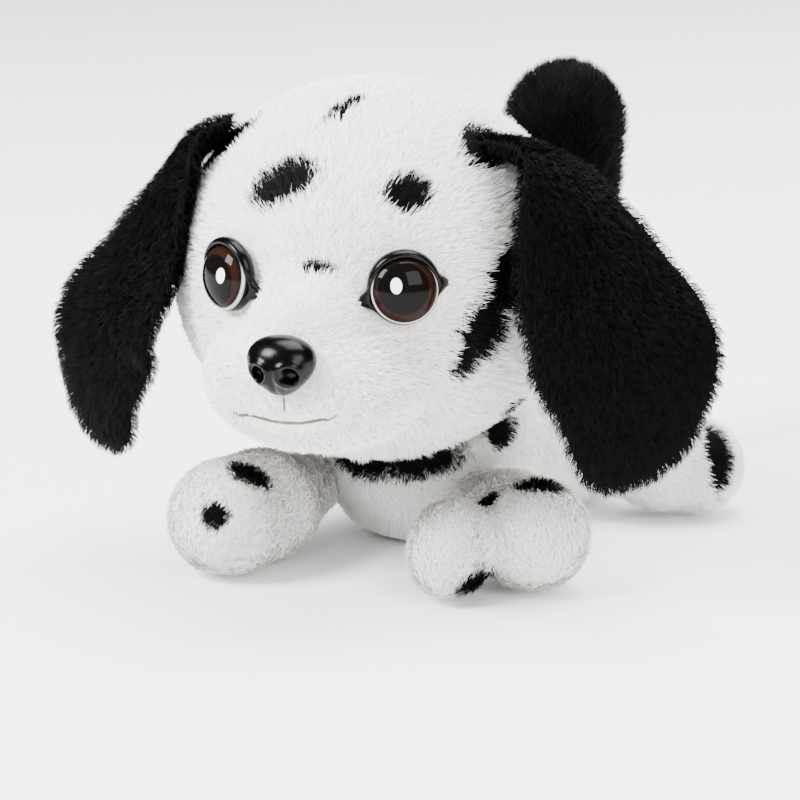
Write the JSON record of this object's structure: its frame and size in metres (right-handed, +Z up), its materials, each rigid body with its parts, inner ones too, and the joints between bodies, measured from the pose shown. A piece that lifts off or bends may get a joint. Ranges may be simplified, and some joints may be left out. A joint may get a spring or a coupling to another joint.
{
  "type": "interactive plush pet",
  "caption": "Stuffed plush puppy lying on its belly, with a motor-turned head, wagging tail, flapping ears, touch buttons, splaying legs and a battery base.",
  "frame": {"origin": "on the flat underside of the rigid base, just ahead of the battery door, on the puppy's middle plane", "axes": "+Z up, the puppy lies facing -Y, +X towards its own left side"},
  "size_m": [0.2832, 0.3126, 0.201],
  "materials": {
    "white_fleece": "long pile plush fabric, white",
    "black_fleece": "long pile plush fabric, black",
    "stuffing": "loose polyester fibre",
    "shell_plastic": "moulded, as pressed",
    "gear_plastic": "natural acetal",
    "black_plastic": "polished black",
    "eye_plastic": "clear dome over brown iris",
    "steel": "plated",
    "circuit_board": "glass-filled board",
    "cell_jacket": "printed jacket",
    "speaker_frame": "black coated"
  },
  "bodies": {
    "torso": {"body_skin": "white_fleece", "body_stuffing": "stuffing", "base_tub": "shell_plastic", "chassis_cover": "shell_plastic", "neck_gearcase": "shell_plastic", "neck_gearcase_lid": "shell_plastic", "neck_motor": "steel", "tail_motor": "steel", "speaker": "speaker_frame", "main_board": "circuit_board", "cell_1": "cell_jacket", "cell_2": "cell_jacket", "cell_3": "cell_jacket", "contact_front": "steel", "contact_rear": "steel", "power_switch": "black_plastic", "back_pat_switch": "black_plastic", "back_pat_spring": "steel", "case_screw_1": "steel", "case_screw_2": "steel", "case_screw_3": "steel", "case_screw_4": "steel"},
    "neck": {"neck_post": "gear_plastic"},
    "head": {"head_skin": "white_fleece", "head_shell_front": "shell_plastic", "head_shell_rear": "shell_plastic", "nod_pin": "steel", "eye_left": "eye_plastic", "eye_right": "eye_plastic", "eye_rim_left": "black_plastic", "eye_rim_right": "black_plastic", "eye_washer_left": "steel", "eye_washer_right": "steel", "head_board": "circuit_board", "nose_switch": "black_plastic", "nose_spring": "steel", "head_pat_switch": "black_plastic", "head_pat_spring": "steel"},
    "left_ear": {"ear_left": "black_fleece"},
    "right_ear": {"ear_right": "black_fleece"},
    "nose": {"nose_button": "black_plastic"},
    "head_button": {"head_pat_button": "shell_plastic"},
    "neck_drive": {"neck_pinion": "gear_plastic"},
    "tail": {"tail_cover": "black_fleece", "tail_core": "gear_plastic"},
    "tail_drive": {"tail_pinion": "gear_plastic"},
    "front_left_leg": {"leg_front_left": "white_fleece"},
    "front_right_leg": {"leg_front_right": "white_fleece"},
    "hind_left_leg": {"leg_hind_left": "white_fleece"},
    "hind_right_leg": {"leg_hind_right": "white_fleece"},
    "door": {"battery_door": "shell_plastic", "door_screw": "steel"},
    "power_knob": {"power_slider": "black_plastic"},
    "back_button": {"back_pat_button": "shell_plastic"}
  },
  "joints": [
    {"name": "head_turn", "type": "hinge", "parent": "torso", "child": "neck", "pos_m": [0, -0.046, 0.118], "axis": [0, 0, 1], "range_deg": [-28, 11]},
    {"name": "neck_pinion_turn", "type": "hinge", "parent": "torso", "child": "neck_drive", "pos_m": [0, -0.0252, 0.03], "axis": [0, 0, 1], "range_deg": [-50, 120]},
    {"name": "head_nod", "type": "hinge", "parent": "neck", "child": "head", "pos_m": [0, -0.046, 0.118], "axis": [0.9888, 0.149, 0], "range_deg": [-10, 1.5]},
    {"name": "left_ear_lift", "type": "hinge", "parent": "head", "child": "left_ear", "pos_m": [0.06478, -0.08326, 0.1785], "axis": [-0.1388, -0.9654, 0.2209], "range_deg": [0, 35]},
    {"name": "right_ear_lift", "type": "hinge", "parent": "head", "child": "right_ear", "pos_m": [-0.05092, -0.1007, 0.1785], "axis": [-0.4172, 0.8815, -0.2209], "range_deg": [0, 35]},
    {"name": "nose_press", "type": "slide", "parent": "head", "child": "nose", "axis": [-0.149, 0.9888, 0], "range_m": [0, 0.0015], "stiffness_N_per_m": 600, "springref_m": -0.0005, "deforming": ["nose_spring"]},
    {"name": "head_pat_press", "type": "slide", "parent": "head", "child": "head_button", "axis": [0, 0, -1], "range_m": [0, 0.0015], "stiffness_N_per_m": 600, "springref_m": -0.0005, "deforming": ["head_pat_spring"]},
    {"name": "back_pat_press", "type": "slide", "parent": "torso", "child": "back_button", "axis": [0, 0, -1], "range_m": [0, 0.0015], "stiffness_N_per_m": 600, "springref_m": -0.0005, "deforming": ["back_pat_spring"]},
    {"name": "tail_wag", "type": "hinge", "parent": "torso", "child": "tail", "pos_m": [0, 0.097, 0.072], "axis": [0, 1, 0], "range_deg": [-20, 20]},
    {"name": "tail_pinion_turn", "type": "hinge", "parent": "torso", "child": "tail_drive", "pos_m": [0, 0.05, 0.0512], "axis": [0, 1, 0], "range_deg": [-85, 85]},
    {"name": "front_left_leg_splay", "type": "hinge", "parent": "torso", "child": "front_left_leg", "pos_m": [0.041, -0.052, 0.023], "axis": [0, 0, 1], "range_deg": [-8, 20]},
    {"name": "front_right_leg_splay", "type": "hinge", "parent": "torso", "child": "front_right_leg", "pos_m": [-0.04, -0.053, 0.023], "axis": [0, 0, 1], "range_deg": [-25, 2.5]},
    {"name": "hind_left_leg_splay", "type": "hinge", "parent": "torso", "child": "hind_left_leg", "pos_m": [0.061, 0.038, 0.021], "axis": [0, 0, 1], "range_deg": [-15, 6]},
    {"name": "hind_right_leg_splay", "type": "hinge", "parent": "torso", "child": "hind_right_leg", "pos_m": [-0.061, 0.038, 0.021], "axis": [0, 0, 1], "range_deg": [-6, 15]},
    {"name": "battery_door_drop", "type": "slide", "parent": "torso", "child": "door", "axis": [0, 0, -1], "range_m": [0, 0.025]},
    {"name": "power_switch_slide", "type": "slide", "parent": "torso", "child": "power_knob", "axis": [1, 0, 0], "range_m": [0, 0.004]}
  ],
  "couplings": [
    {"joint": "neck_pinion_turn", "follows": "head_turn", "ratio": -4.2},
    {"joint": "tail_pinion_turn", "follows": "tail_wag", "ratio": -4.2}
  ]
}
